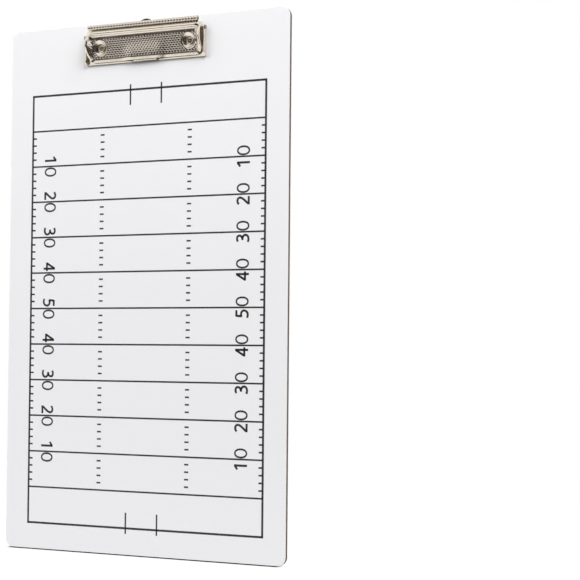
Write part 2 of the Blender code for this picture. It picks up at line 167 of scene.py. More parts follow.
class ClipboardColours(bpy.types.PropertyGroup):
    """Colours a user would change, as linear values"""

    laminate: bpy.props.FloatVectorProperty(
        name="Laminate", description="White laminate on both faces",
        default=srgb("#F2F2F4"), size=4, subtype="COLOR",
    )
    hardboard: bpy.props.FloatVectorProperty(
        name="Hardboard", description="Fibre board seen at the edges",
        default=srgb("#5A4A3E"), size=4, subtype="COLOR",
    )
    ink: bpy.props.FloatVectorProperty(
        name="Ink", description="Printed field lines and yard numbers",
        default=srgb("#262221"), size=4, subtype="COLOR",
    )
    nickel: bpy.props.FloatVectorProperty(
        name="Nickel plate", description="Bright plate on the clip's steel",
        default=srgb("#F0E6D8"), size=4, subtype="COLOR",
    )
    # The hanging tab's plate is given a much darker colour than the clip's
    tab: bpy.props.FloatVectorProperty(
        name="Tab steel", description="Dulled plate on the hanging tab",
        default=srgb("#5A4D42"), size=4, subtype="COLOR",
    )
    wire: bpy.props.FloatVectorProperty(
        name="Drawn steel", description="Spring wire and hinge pin",
        default=srgb("#A8A198"), size=4, subtype="COLOR",
    )
    floor: bpy.props.FloatVectorProperty(
        name="Floor", description="Pale studio floor",
        default=srgb("#F4F4F4"), size=4, subtype="COLOR",
    )
    carpet: bpy.props.FloatVectorProperty(
        name="Carpet", description="Dark floor of the room beyond",
        default=srgb("#2A2724"), size=4, subtype="COLOR",
    )


def nickel_plated_steel(add, place, colour):
    """Bright nickel over cold-rolled strip, pressed: warm grey mirror with a slight haze."""
    # Haze left by plating, in patches about 6 mm across
    haze = add("TexNoise", {"Vector": place, "Scale": 160.0, "Detail": 3.0})
    rough = add(
        "MapRange", {"Value": haze, "From Min": 0.3, "From Max": 0.7, "To Min": 0.16, "To Max": 0.27}
    )
    # Roller grain of the strip, drawn out along the clip: 0.4 mm lines, coarser than the real ones
    stretch = add("Mapping", {"Vector": place, "Scale": (60.0, 2500.0, 2500.0)})
    grain = add("TexNoise", {"Vector": stretch, "Scale": 1.0, "Detail": 2.0})
    bump = add("Bump", {"Height": grain, "Strength": 0.012, "Distance": 0.0001})
    # Faint tarnish in the plate, a little darker where it is thin
    tint = add("Mix", {"Factor": haze, "A": colour, "B": toned(colour, 0.9)}, data_type="RGBA")
    # Painted shade: the bottoms of the pressed pits are darkened to a tenth of the plate's colour, so they
    # look dark
    pits = add("Attribute", attribute_name=PIT_LAYER).outputs["Fac"]
    dull = add("Mix", {"Factor": pits, "A": tint, "B": toned(colour, 0.1)}, data_type="RGBA")
    return add("BsdfPrincipled", {"Base Color": dull, "Metallic": 1.0, "Roughness": rough, "Normal": bump})


def drawn_steel(add, place, colour):
    """Drawn steel wire, oiled: darker and duller than the plated parts, with fine die marks."""
    # Die marks, about 0.2 mm apart
    marks = add("TexNoise", {"Vector": place, "Scale": 5000.0, "Detail": 1.0})
    rough = add("MapRange", {"Value": marks, "To Min": 0.28, "To Max": 0.45})
    return add("BsdfPrincipled", {"Base Color": colour, "Metallic": 1.0, "Roughness": rough})


def dry_erase_laminate(add, place, colour):
    """Melamine laminate, pressed against a polished plate: white, glossy, with a faint ripple."""
    # Press-plate ripple, about 3 mm across
    ripple = add("TexNoise", {"Vector": place, "Scale": 330.0, "Detail": 2.0})
    bump = add("Bump", {"Height": ripple, "Strength": 0.05, "Distance": 0.0002})
    # Wiping haze, in broad patches about 60 mm across
    wiped = add("TexNoise", {"Vector": place, "Scale": 16.0, "Detail": 4.0})
    rough = add(
        "MapRange", {"Value": wiped, "From Min": 0.3, "From Max": 0.7, "To Min": 0.3, "To Max": 0.4}
    )
    tone = add("Mix", {"Factor": wiped, "A": colour, "B": toned(colour, 0.985)}, data_type="RGBA")
    return add(
        "BsdfPrincipled",
        {"Base Color": tone, "Roughness": rough, "Normal": bump, "Specular IOR Level": 0.35},
    )


def tempered_hardboard(add, place, colour):
    """Tempered hardboard, sawn and rounded: dark brown, matt, flecked with pressed fibres."""
    # Fibres lie flat in the sheet, so the flecks are thin through its thickness: 0.3 mm by 2 mm
    stretch = add("Mapping", {"Vector": place, "Scale": (500.0, 3300.0, 500.0)})
    fibre = add("TexNoise", {"Vector": stretch, "Scale": 1.0, "Detail": 4.0})
    tone = add(
        "Mix", {"Factor": fibre, "A": toned(colour, 0.55), "B": toned(colour, 1.45)}, data_type="RGBA"
    )
    bump = add("Bump", {"Height": fibre, "Strength": 0.35, "Distance": 0.0002})
    return add("BsdfPrincipled", {"Base Color": tone, "Roughness": 0.72, "Normal": bump})


def screen_ink(add, place, colour):
    """Enamel ink, screen printed: near black, satin, with the mesh's slight unevenness."""
    # Screen mesh, drawn 0.5 mm across, coarser than the real one, so that it shows at all
    mesh = add("TexNoise", {"Vector": place, "Scale": 2000.0, "Detail": 1.0})
    tone = add("Mix", {"Factor": mesh, "A": colour, "B": toned(colour, 1.5)}, data_type="RGBA")
    return add("BsdfPrincipled", {"Base Color": tone, "Roughness": 0.42})


# How brightly the sweep and the surroundings light the board, where 1 is how they look
SWEEP_LIGHT, SKY_LIGHT = 0.1, 1.36


def glow(add, kind, light):
    """A white light of strength 1 to the camera, reflections and glass, and of its own elsewhere."""
    path = add("LightPath").outputs
    seen = add("Math", {0: path["Is Camera Ray"], 1: path["Is Glossy Ray"]}, operation="MAXIMUM")
    seen = add("Math", {0: seen, 1: path["Is Transmission Ray"]}, operation="MAXIMUM")
    strength = add("MapRange", {"Value": seen, "To Min": light, "To Max": 1.0})
    return add(kind, {"Color": (1.0, 1.0, 1.0, 1.0), "Strength": strength})


def sweep_paint(add, place, colour):
    """Emulsion paint on the sweep, rolled: matt white that keeps the board's shadow."""
    surface = add("BsdfPrincipled", {"Base Color": colour, "Roughness": 0.6, "Specular IOR Level": 0.2})
    # The shadow shows only near the board: further off the sweep is as white as the background
    away = add("VectorMath", {0: place}, operation="LENGTH")
    fade = add(
        "MapRange", {"Value": away, "From Min": 0.12, "From Max": 0.7, "To Min": 0.86, "To Max": 1.0}
    )
    lift = add("MixShader", {"Fac": fade, 1: surface, 2: glow(add, "Emission", SWEEP_LIGHT)})
    # The shade in the joint between board and sweep, a few millimetres deep and mostly in front
    forward = add("VectorMath", {0: place, 1: (0.0, 0.0022, 0.0)}, operation="ADD")
    parts = add("SeparateXYZ", {"Vector": forward}).outputs
    joint = add("LightPath").outputs["Is Camera Ray"]
    for axis, near, far in (("Y", 0.0028, 0.0052), ("X", 0.1075, 0.113)):
        away = add("Math", {0: parts[axis]}, operation="ABSOLUTE")
        limits = {"Value": away, "From Min": near, "From Max": far, "To Min": 1.0, "To Max": 0.0}
        shade = add("MapRange", limits, interpolation_type="SMOOTHSTEP")
        joint = add("Math", {0: joint, 1: shade}, operation="MULTIPLY")
    dark = add("BsdfDiffuse", {"Color": (0.005, 0.005, 0.005, 1.0)})
    return add("MixShader", {"Fac": joint, 1: lift, 2: dark})


def carpet(add, place, colour):
    """Dark wool carpet, tufted: matt and slightly uneven, seen only as a mirror image."""
    # Pile in tufts about 17 mm across, coarser than the real ones
    pile = add("TexNoise", {"Vector": place, "Scale": 60.0, "Detail": 2.0})
    tone = add("Mix", {"Factor": pile, "A": colour, "B": toned(colour, 1.82)}, data_type="RGBA")
    return add("BsdfPrincipled", {"Base Color": tone, "Roughness": 0.9, "Specular IOR Level": 0.1})


# Each finish: how it is made, the colour it takes from the panel, and the material's name
FINISHES = {
    "nickel": (nickel_plated_steel, "nickel", "nickel plated steel, pressed"),
    # The tab uses the same plate with the much darker tab colour
    "tab": (nickel_plated_steel, "tab", "nickel plated steel, blanked and dulled"),
    "wire": (drawn_steel, "wire", "spring steel, drawn"),
    "front": (dry_erase_laminate, "laminate", "melamine laminate front, pressed"),
    "back": (dry_erase_laminate, "laminate", "melamine laminate back, pressed"),
    "hardboard": (tempered_hardboard, "hardboard", "tempered hardboard, sawn edge"),
    "ink": (screen_ink, "ink", "enamel ink, screen printed"),
    "sweep": (sweep_paint, "floor", "studio sweep, painted white"),
    "carpet": (carpet, "carpet", "studio room floor, dark carpet"),
}


def paint(finish):
    """The material of a finish, made once from the colours in the panel."""
    maker, colour, name = FINISHES[finish]
    if name not in bpy.data.materials:
        add = node_adder(bpy.data.materials.new(name))
        place = add("TexCoord").outputs["Object"]
        colour = tuple(getattr(bpy.context.scene.clipboard_colours, colour))
        add("OutputMaterial", {"Surface": maker(add, place, colour)})
    return bpy.data.materials[name]


core_low, core_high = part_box("board_core")
sheet_low, sheet_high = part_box("front_writing_sheet")
BOARD_HALF = core_high.x / MM
BOARD_HEIGHT = core_high.z / MM
FACE = sheet_low.y / MM


def at(x, down, rise):
    """A point of the clip, in scene metres: x is measured from the clip's own middle."""
    return Vector((CLIP_OFFSET + x, FACE - rise, BOARD_HEIGHT - down)) * MM


HINGE = at(0.0, HINGE_DOWN, HINGE_RISE)


def scene_object(name, data):
    """A new object in the scene that holds this mesh, curve, lamp or camera."""
    obj = bpy.data.objects.new(name, data)
    bpy.context.scene.collection.objects.link(obj)
    return obj


def mesh_object(bm, name="cutter"):
    """An object of the bmesh: one that isn't named is a cutter, removed once it has been used."""
    mesh = bpy.data.meshes.new(name)
    bm.to_mesh(mesh)
    bm.free()
    return scene_object(name, mesh)


def add_object(bm, name, finish, body, replaced=(), smooth=True):
    """Turns a bmesh in scene metres into a piece that rides on a body."""
    bmesh.ops.recalc_face_normals(bm, faces=bm.faces)
    obj = mesh_object(bm, name)
    obj.data.materials.append(paint(finish))
    obj.data.polygons.foreach_set("use_smooth", [smooth] * len(obj.data.polygons))
    if body:
        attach(obj, body)
    if replaced:
        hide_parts(*replaced)
    return obj


def apply_modifiers(obj):
    """Bakes the object's modifiers into its mesh."""
    graph = bpy.context.evaluated_depsgraph_get()
    made = bpy.data.meshes.new_from_object(obj.evaluated_get(graph))
    old = obj.data
    obj.modifiers.clear()
    obj.data = made
    bpy.data.meshes.remove(old)


def shade_by_angle(obj, degrees):
    """Marks edges sharper than the angle, so smooth shading keeps them."""
    bm = bmesh.new()
    bm.from_mesh(obj.data)
    for edge in bm.edges:
        edge.smooth = len(edge.link_faces) == 2 and edge.calc_face_angle(0.0) < math.radians(degrees)
    bm.to_mesh(obj.data)
    bm.free()


def break_edges(obj, width, degrees):
    """Rounds the edges sharper than the angle, and shades the rest smooth."""
    bevel = obj.modifiers.new("broken edges", "BEVEL")
    bevel.width = width * MM
    bevel.segments = 2
    bevel.limit_method = "ANGLE"
    bevel.angle_limit = math.radians(degrees)
    apply_modifiers(obj)
    shade_by_angle(obj, degrees)


def flatten(obj):
    """Keeps the flat faces' own direction, so only the rounded edges between them look round."""
    obj.modifiers.new("weighted normals", "WEIGHTED_NORMAL").keep_sharp = True
    apply_modifiers(obj)


def extrude(points, vector):
    """A solid from a closed outline."""
    bm = bmesh.new()
    face = bm.faces.new([bm.verts.new(point) for point in points])
    made = bmesh.ops.extrude_face_region(bm, geom=[face])
    tops = [item for item in made["geom"] if isinstance(item, bmesh.types.BMVert)]
    bmesh.ops.translate(bm, verts=tops, vec=vector)
    bmesh.ops.recalc_face_normals(bm, faces=bm.faces)
    return bm


def block(bm, low, high):
    """Adds a box between two corners."""
    verts = bmesh.ops.create_cube(bm, size=1.0)["verts"]
    bmesh.ops.scale(bm, verts=verts, vec=[b - a for a, b in zip(low, high)])
    bmesh.ops.translate(bm, verts=verts, vec=[(a + b) / 2 for a, b in zip(low, high)])


def cylinder_cutter(radius, length, centre, direction):
    """A round cutter: its radius and length are in millimetres."""
    bm = bmesh.new()
    turn = Vector((0.0, 0.0, 1.0)).rotation_difference(Vector(direction)).to_matrix().to_4x4()
    bmesh.ops.create_cone(
        bm,
        cap_ends=True,
        segments=48,
        radius1=radius * MM,
        radius2=radius * MM,
        depth=length * MM,
        matrix=Matrix.Translation(centre) @ turn,
    )
    return mesh_object(bm)


def cut(obj, others, operation="DIFFERENCE"):
    """Applies the object's modifiers and a Boolean for each helper, which it then removes."""
    for other in others:
        modifier = obj.modifiers.new("cut", "BOOLEAN")
        modifier.operation = operation
        modifier.solver = "EXACT"
        modifier.object = other
    bpy.context.view_layer.update()
    apply_modifiers(obj)
    for other in others:
        bpy.data.objects.remove(other, do_unlink=True)


def board_outline(y, steps=14):
    """Outline of a board face with rounded corners, in scene metres."""
    points = []
    side = BOARD_HALF - CORNER_RADIUS
    top = BOARD_HEIGHT - CORNER_RADIUS
    corners = ((side, CORNER_RADIUS), (side, top), (-side, top), (-side, CORNER_RADIUS))
    for number, (x, z) in enumerate(corners):
        for step in range(steps + 1):
            angle = math.radians(90.0 * (number - 1) + 90.0 * step / steps)
            across, up = CORNER_RADIUS * math.cos(angle), CORNER_RADIUS * math.sin(angle)
            points.append(Vector((x + across, y / MM, z + up)) * MM)
    return points


def rivet_cutters():
    """Cutters for the two rivet holes."""
    centres = [at(side * RIVET_OFFSET, RIVET_DOWN, 0.0) for side in (-1, 1)]
    return [cylinder_cutter(RIVET_HOLE, 20.0, centre, (0, 1, 0)) for centre in centres]


def turned(name, profile, origin, direction, finish, node):
    """A turned piece: profile points are radius and height along the direction, in millimetres."""
    bm = bmesh.new()
    points = [bm.verts.new((radius * MM, 0.0, height * MM)) for radius, height in profile]
    edges = [bm.edges.new(pair) for pair in zip(points, points[1:])]
    bmesh.ops.spin(
        bm, geom=points + edges, cent=(0, 0, 0), axis=(0, 0, 1), dvec=(0, 0, 0), angle=math.tau, steps=48
    )
    bmesh.ops.remove_doubles(bm, verts=bm.verts, dist=0.0000005)
    turn = Vector((0.0, 0.0, 1.0)).rotation_difference(Vector(direction)).to_matrix().to_4x4()
    bmesh.ops.transform(bm, matrix=Matrix.Translation(origin) @ turn, verts=bm.verts)
    shade_by_angle(add_object(bm, name, finish, BOARD, (node,)), 40.0)


class CLIPBOARD_OT_board(bpy.types.Operator):
    """Build the hardboard core and the two laminate sheets"""

    bl_idname = "clipboard.board"
    bl_label = "Board and sheets"

    def execute(self, context):
        layers = (
            ("hardboard_blank", core_low.y, core_high.y, "hardboard", "hardboard", "board_core", 0.12),
            ("front_sheet", sheet_low.y, sheet_high.y, "front", "laminate", "front_writing_sheet", 0.1),
            ("back_sheet", -sheet_high.y, -sheet_low.y, "back", "laminate", "back_writing_sheet", 0.1),
        )
        for name, near, far, finish, slot, node, edge in layers:
            bm = extrude(board_outline(near), Vector((0.0, far - near, 0.0)))
            obj = add_object(bm, name, finish, BOARD, (node,))
            cut(obj, rivet_cutters())
            break_edges(obj, edge, 50.0)
            flatten(obj)
        return {"FINISHED"}


# Yard number shapes: centre lines in millimetres on a 10 mm high digit
DIGITS = {
    "1": [(False, [(0.75, 7.45), (3.6, 9.55)]), (False, [(3.6, 10.0), (3.6, 0.0)])],
    "2": [
        (True, [(0.75, 8.3), (1.9, 9.15), (3.3, 9.38), (4.7, 8.95), (5.45, 7.8), (5.35, 6.5),
                (4.5, 5.0), (3.0, 3.2), (1.1, 1.1)]),
        (False, [(0.45, 0.65), (6.4, 0.65)]),
    ],
    "3": [
        (True, [(0.8, 8.75), (2.0, 9.3), (3.3, 9.38), (4.65, 8.85), (5.1, 7.55), (4.5, 6.1),
                (3.1, 5.35), (1.9, 5.25)]),
        (True, [(1.9, 5.25), (3.6, 5.15), (5.0, 4.3), (5.55, 2.9), (5.0, 1.45), (3.4, 0.65),
                (1.8, 0.65), (0.45, 1.15)]),
    ],
    "4": [
        (False, [(4.9, 0.0), (4.9, 10.0)]),
        (False, [(4.75, 9.45), (0.75, 3.0)]),
        (False, [(0.25, 2.95), (6.75, 2.95)]),
    ],
    "5": [
        (False, [(1.35, 9.35), (5.9, 9.35)]),
        (False, [(1.85, 9.3), (1.55, 5.2)]),
        (True, [(1.15, 5.4), (2.8, 5.75), (4.4, 5.4), (5.45, 4.3), (5.55, 2.9), (4.85, 1.5),
                (3.4, 0.68), (1.8, 0.62), (0.45, 1.1)]),
    ],
}
DIGIT_START = {"1": -7.95, "2": -8.0, "3": -7.8, "4": -8.1, "5": -7.8}
DIGIT_STROKE = 1.6
ZERO_START = 0.75
ZERO_RADII = ((3.55, 5.05), (2.2, 3.85))


def between(p, q, r, s, t):
    """A value on the smooth curve from q to r, which p and s lead into and out of."""
    square = (2 * p - 5 * q + 4 * r - s) * t * t
    cube = (3 * q - p - 3 * r + s) * t**3
    return 0.5 * (2 * q + (r - p) * t + square + cube)


def smooth_path(points, steps=6):
    """Points on a smooth curve through the given ones."""
    made = []
    ends = [points[0], *points, points[-1]]
    for four in zip(ends, ends[1:], ends[2:], ends[3:]):
        for step in range(steps):
            made.append(tuple(between(*values, step / steps) for values in zip(*four)))
    return [*made, points[-1]]


def ribbon(points, width):
    """The two sides of a stroke of the given width along a flat path."""
    left, right = [], []
    for i, point in enumerate(points):
        a = points[max(i - 1, 0)]
        b = points[min(i + 1, len(points) - 1)]
        along = Vector((b[0] - a[0], b[1] - a[1])).normalized()
        across = Vector((-along.y, along.x)) * width / 2
        left.append((point[0] + across.x, point[1] + across.y))
        right.append((point[0] - across.x, point[1] - across.y))
    return left, right


class InkSheet:
    """Collects flat printed shapes into one thin film of ink."""

    def __init__(self, surface, outward):
        self.bm = bmesh.new()
        self.surface = surface
        self.outward = outward

    def film(self, loop):
        """One closed printed shape: its outline is in millimetres of X and Z."""
        thickness = bpy.context.scene.clipboard_sizes.ink_thickness
        base = self.surface + self.outward * 0.004 * MM
        points = [Vector((x * MM, base, z * MM)) for x, z in loop]
        rise = Vector((0.0, self.outward * thickness, 0.0))
        bottom = [self.bm.verts.new(point) for point in points]
        top = [self.bm.verts.new(point + rise) for point in points]
        self.bm.faces.new(bottom)
        self.bm.faces.new(top[::-1])
        for i in range(len(loop)):
            self.bm.faces.new((bottom[i - 1], top[i - 1], top[i], bottom[i]))

    def line(self, a, b, width):
        """A straight printed line with square ends."""
        self.stroke([a, b], width)

    def stroke(self, points, width):
        """A curved stroke, laid as a chain of short pieces."""
        left, right = ribbon(points, width)
        for i in range(len(points) - 1):
            self.film([left[i], left[i + 1], right[i + 1], right[i]])

    def ring(self, outer, inner):
        """A closed ring between two outlines of equal count."""
        for i in range(len(outer)):
            self.film([outer[i - 1], outer[i], inner[i], inner[i - 1]])

    def number(self, tens, place):
        """A yard number, its tens and a nought: place maps its own X and Y to the board."""
        for curved, points in DIGITS[tens]:
            path = smooth_path(points) if curved else points
            self.stroke([place(x + DIGIT_START[tens], y) for x, y in path], DIGIT_STROKE)
        loops = []
        for rx, ry in ZERO_RADII:
            loop = []
            for step in range(40):
                angle = math.tau * step / 40
                c, s = math.cos(angle), math.sin(angle)
                x = ZERO_START + 3.55 + rx * math.copysign(abs(c) ** 0.92, c)
                loop.append(place(x, 5.0 + ry * math.copysign(abs(s) ** 0.92, s)))
            loops.append(loop)
        self.ring(*loops)


# Whole-field print on the front, in millimetres
FIELD_LEFT, FIELD_RIGHT = -94.9, 96.6
FIELD_LOW, FIELD_HIGH = 19.4, 343.0
FIELD_CELLS = 12
FRONT_HASHES = ((-36.4, -33.1), (35.4, 38.7))
FRONT_TICK = 3.2
GOAL_MARKS = (-11.8, 13.7)
GOAL_MARK_OUT, GOAL_MARK_IN = 4.1, 11.4
NUMBER_LEFT, NUMBER_RIGHT = -84.3, 84.6
YARD_TENS = "123454321"

# Half-field print on the back, in millimetres
HALF_SIDE = 95.0
HALF_LOW, HALF_HIGH = 65.4, 327.0
HALF_CELLS = 6
HALF_ROWS = (241.2, 144.0)
HALF_DASH = 4.6


def border(ink, left, right, low, high, width):
    """A printed rectangle with square corners."""
    reach = width / 2
    for z in (low, high):
        ink.line((left - reach, z), (right + reach, z), width)
    for x in (left, right):
        ink.line((x, low - reach), (x, high + reach), width)


def line_widths():
    """Widths of the border, the long lines and the short marks, in millimetres."""
    sizes = bpy.context.scene.clipboard_sizes
    return sizes.border_width / MM, sizes.line_width / MM, sizes.mark_width / MM


class CLIPBOARD_OT_front_print(bpy.types.Operator):
    """Print the whole playing field with its yard numbers on the front sheet"""

    bl_idname = "clipboard.front_print"
    bl_label = "Front print"

    def execute(self, context):
        heavy, medium, light = line_widths()
        ink = InkSheet(sheet_low.y, -1.0)
        border(ink, FIELD_LEFT, FIELD_RIGHT, FIELD_LOW, FIELD_HIGH, heavy)
        cell = (FIELD_HIGH - FIELD_LOW) / FIELD_CELLS
        ticks = (FIELD_LEFT, FIELD_LEFT + FRONT_TICK), (FIELD_RIGHT - FRONT_TICK, FIELD_RIGHT)
        for i in range(1, FIELD_CELLS):
            z = FIELD_HIGH - i * cell
            ink.line((FIELD_LEFT, z), (FIELD_RIGHT, z), medium)
            if 1 < i < FIELD_CELLS - 1:
                tens = YARD_TENS[i - 2]
                ink.number(tens, lambda x, y, z=z: (NUMBER_LEFT + y, z - x))
                ink.number(tens, lambda x, y, z=z: (NUMBER_RIGHT - y, z + x))
            if i == FIELD_CELLS - 1:
                continue
            for part in range(1, 5):
                mark = z - part * cell / 5
                for low, high in (*ticks, *FRONT_HASHES):
                    ink.line((low, mark), (high, mark), light)
        for x in GOAL_MARKS:
            ink.line((x, FIELD_HIGH + GOAL_MARK_OUT), (x, FIELD_HIGH - GOAL_MARK_IN), medium)
            ink.line((x, FIELD_LOW - GOAL_MARK_OUT), (x, FIELD_LOW + GOAL_MARK_IN), medium)
        add_object(ink.bm, "front_field_print", "ink", BOARD, (), False)
        return {"FINISHED"}


class CLIPBOARD_OT_back_print(bpy.types.Operator):
    """Print the half field on the back sheet"""

    bl_idname = "clipboard.back_print"
    bl_label = "Back print"

    def execute(self, context):
        heavy, medium, light = line_widths()
        ink = InkSheet(-sheet_low.y, 1.0)
        border(ink, -HALF_SIDE, HALF_SIDE, HALF_LOW, HALF_HIGH, heavy)
        cell = 2 * HALF_SIDE / HALF_CELLS
        for i in range(HALF_CELLS):
            x = -HALF_SIDE + i * cell
            if i:
                ink.line((x, HALF_LOW), (x, HALF_HIGH), medium)
            for part in range(1, 5):
                mark = x + part * cell / 5
                for low in (HALF_LOW, HALF_HIGH - HALF_DASH, *(row - HALF_DASH / 2 for row in HALF_ROWS)):
                    ink.line((mark, low), (mark, low + HALF_DASH), light)
        add_object(ink.bm, "back_field_print", "ink", BOARD, (), False)
        return {"FINISHED"}


class CLIPBOARD_OT_base_plate(bpy.types.Operator):
    """Build the clip's fixed plate: floor, channel, side walls and hinge ears"""

    bl_idname = "clipboard.base_plate"
    bl_label = "Base plate"

    def execute(self, context):
        wall = CLIP_HALF - STEEL / 2
        half = [(CHANNEL_HALF - 0.35, CHANNEL_RISE), (CHANNEL_HALF + 0.05, CHANNEL_RISE - 0.15)]
        half += [(CHANNEL_HALF + 0.9, BASE_RISE + 0.12), (CHANNEL_HALF + 1.3, BASE_RISE)]
        for step in range(7):
            angle = math.radians(15.0 * step)
            half.append((wall - 0.8 + 0.8 * math.sin(angle), BASE_RISE + 0.8 - 0.8 * math.cos(angle)))
        half.append((wall - WALL_LEAN, HINGE_RISE + EAR_RADIUS + 0.5))
        section = [(-x, rise) for x, rise in reversed(half)] + half
        bm = bmesh.new()
        near = [bm.verts.new(at(x, BASE_REAR - 1.0, rise)) for x, rise in section]
        far = [bm.verts.new(at(x, BASE_FRONT, rise)) for x, rise in section]
        for i in range(len(section) - 1):
            bm.faces.new((near[i], near[i + 1], far[i + 1], far[i]))
        obj = add_object(bm, "base_plate", "nickel", BOARD, ("clip_base_plate",))
        solid = obj.modifiers.new("sheet", "SOLIDIFY")
        solid.thickness = STEEL * MM
        solid.offset = 0.0
        solid.use_even_offset = True

        def ear(angle):
            """A point on the round end of a hinge ear."""
            turn = math.radians(angle)
            return (HINGE_DOWN + EAR_RADIUS * math.cos(turn), HINGE_RISE + EAR_RADIUS * math.sin(turn))

        outline = [(BASE_REAR, 0.1), (BASE_REAR, CHANNEL_RISE + STEEL / 2 + 0.05)]
        outline += [ear(200.0 - step * 6.0) for step in range(25)]
        reach = math.sqrt(EAR_RADIUS**2 - (SIDE_WALL_RISE - HINGE_RISE) ** 2)
        outline.append((HINGE_DOWN + reach, SIDE_WALL_RISE))
        front = BASE_FRONT - 0.05
        fall = [(27.6, SIDE_WALL_RISE), (28.3, 4.15), (28.9, 3.7), (29.5, 3.0), (30.0, 2.3), (front, 2.1)]
        outline += [*smooth_path(fall, 4), (front, 0.1)]
        keep = extrude([at(-55.0, down, rise) for down, rise in outline], Vector((110.0 * MM, 0.0, 0.0)))
        cut(obj, [mesh_object(keep)], "INTERSECT")
        # The rear corners are cut back to the ears, so only the middle reaches under the barrel
        notch = [(BASE_REAR - 2.0, -1.0), (SIDE_WALL_REAR, -1.0)]
        notch += [ear(240.0 - step * 5.0) for step in range(9)]
        notch.append((BASE_REAR - 2.0, HINGE_RISE - 0.4))
        width = Vector((10.0 * MM, 0.0, 0.0))
        corners = []
        for start in (-REAR_CORNER_HALF - 10.0, REAR_CORNER_HALF):
            corners.append(mesh_object(extrude([at(start, down, rise) for down, rise in notch], width)))
        cut(obj, corners)
        pin_hole = cylinder_cutter(PIN_RADIUS + 0.06, 130.0, HINGE, (1, 0, 0))
        cut(obj, [pin_hole, *rivet_cutters()])
        stops = []
        for side in (-1, 1):
            bm = bmesh.new()
            centre = at(side * (CHANNEL_HALF - 0.825), BASE_REAR + 0.75, 1.1)
            half_size = Vector((0.925, 0.7, 0.55)) * MM
            block(bm, centre - half_size, centre + half_size)
            stops.append(mesh_object(bm))
        cut(obj, stops, "UNION")
        break_edges(obj, 0.1, 40.0)
        flatten(obj)
        return {"FINISHED"}


def floor_rise(down):
    """Height of the pocket's sloping floor."""
    return FLOOR_RISE - FLOOR_SLOPE * (down - FLOOR_START)


def lever_rows():
    """Control rows of the pressing: down, rise, crest rise, flange bottom."""
    rows = []
    for angle in range(18, 311, 12):
        turn = math.radians(angle)
        down = BARREL_DOWN + BARREL_RADIUS * math.cos(turn)
        rows.append((down, BARREL_RISE + BARREL_RADIUS * math.sin(turn), 5.1, 4.1))
    start_down, start_rise = rows[-1][:2]
    slope = math.tan(math.radians(40.0))
    rows += [
        (6.2, start_rise + slope * (6.2 - start_down), 5.2, 3.9),
        (7.1, start_rise + slope * (7.1 - start_down), 5.7, 3.3),
        (7.7, 7.72, 5.9, 2.75),
        (8.2, RIDGE_RISE, 6.0, 2.35),
        (8.9, RIDGE_RISE, 6.2, 1.85),
        (9.4, RIDGE_RISE - 0.3, 6.4, 1.7),
        (9.75, 7.1, 6.55, 1.65),
        (10.15, 6.35, 6.75, 1.65),
        (10.8, 5.95, 7.1, 1.65),
    ]
    crests = [(FLOOR_START, 7.8), (13.5, 8.4), (15.0, 8.7), (17.0, 8.6), (19.0, 7.85), (20.8, 6.8)]
    crests += [(22.5, 5.6), (24.3, 4.1), (25.6, 3.1)]
    rows += [(down, floor_rise(down), crest, 1.6) for down, crest in crests]
    rows += [
        (27.0, 1.95, 2.3, 1.65),
        (28.2, LIP_RISE, LIP_RISE + 0.05, 1.7),
        (LIP_FRONT, LIP_RISE - 0.05, LIP_RISE, 1.75),
    ]
    return rows


def even_rows(rows, step):
    """Rows of the same smooth profile at an even distance along the sheet."""
    fine = smooth_path(rows, 16)
    lengths = [0.0]
    for a, b in zip(fine, fine[1:]):
        lengths.append(lengths[-1] + math.hypot(b[0] - a[0], b[1] - a[1]))
    count = round(lengths[-1] / step)
    made = []
    index = 0
    for i in range(count + 1):
        want = lengths[-1] * i / count
        while index < len(fine) - 2 and lengths[index + 1] < want:
            index += 1
        span = lengths[index + 1] - lengths[index]
        t = (want - lengths[index]) / span if span else 0.0
        row = tuple(a + (b - a) * t for a, b in zip(fine[index], fine[index + 1]))
        made.append((want, *row))
    return made


def ease(t):
    """Smooth step from 0 to 1."""
    t = min(max(t, 0.0), 1.0)
    return t * t * (3.0 - 2.0 * t)


def lip_lift(x, down):
    """The lip's middle is raised to clear the channel."""
    return LIP_WAVE * ease((19.0 - abs(x)) / 8.5) * ease((down - 14.0) / 12.4)


def corner_inset(down):
    """How far the rounded front corner draws the side in."""
    past = down - (LIP_FRONT - LIP_CORNER_RADIUS)
    if past <= 0.0:
        return 0.0
    return 0.96 * (LIP_CORNER_RADIUS - math.sqrt(max(LIP_CORNER_RADIUS**2 - past**2, 0.0)))


def pit(x, along):
    """Depth share of the diamond embossing at a place on the flat strip."""
    u, v = x / EMBOSS_ACROSS, along / EMBOSS_ALONG
    nearest = 9.0
    for du, dv in ((0.0, 0.0), (0.5, 0.5)):
        a = (u - du) - round(u - du)
        b = (v - dv) - round(v - dv)
        nearest = min(nearest, 2.0 * math.hypot(a, b))
    return ease((0.56 - nearest) / 0.26)


def funnel(x, down):
    """Distance from the nearer funnel's axis, on the sloping floor."""
    return math.hypot(abs(x) - RIVET_OFFSET, (down - FUNNEL_DOWN) * FLOOR_STRETCH)


def columns(on_hem, rise, crest):
    """Half a row's places: x, with 0 on the floor, 1 at the wall's crest and 2 at the flange's foot."""
    spots = [(x, 0.0) for x in FLOOR_COLUMNS]
    if on_hem:
        return spots + [(WALL_FOOT + (BARREL_HALF - WALL_FOOT) * share, 0.0) for share in (0.33, 0.66, 1.0)]
    for step in range(1, WALL_STEPS + 1):
        share = step / WALL_STEPS
        x = WALL_FOOT + (CREST_HALF - WALL_FOOT) * share
        spots.append((x, ease(share * 0.93 + 0.04) if crest > rise else share**2.2))
    for share in (0.0, 0.06, 0.14, 0.3, 0.5, 0.7, 0.85, 1.0):
        spots.append((LEVER_HALF - 0.25 * (1.0 - ease(share * 8)), 1.0 + share))
    return spots


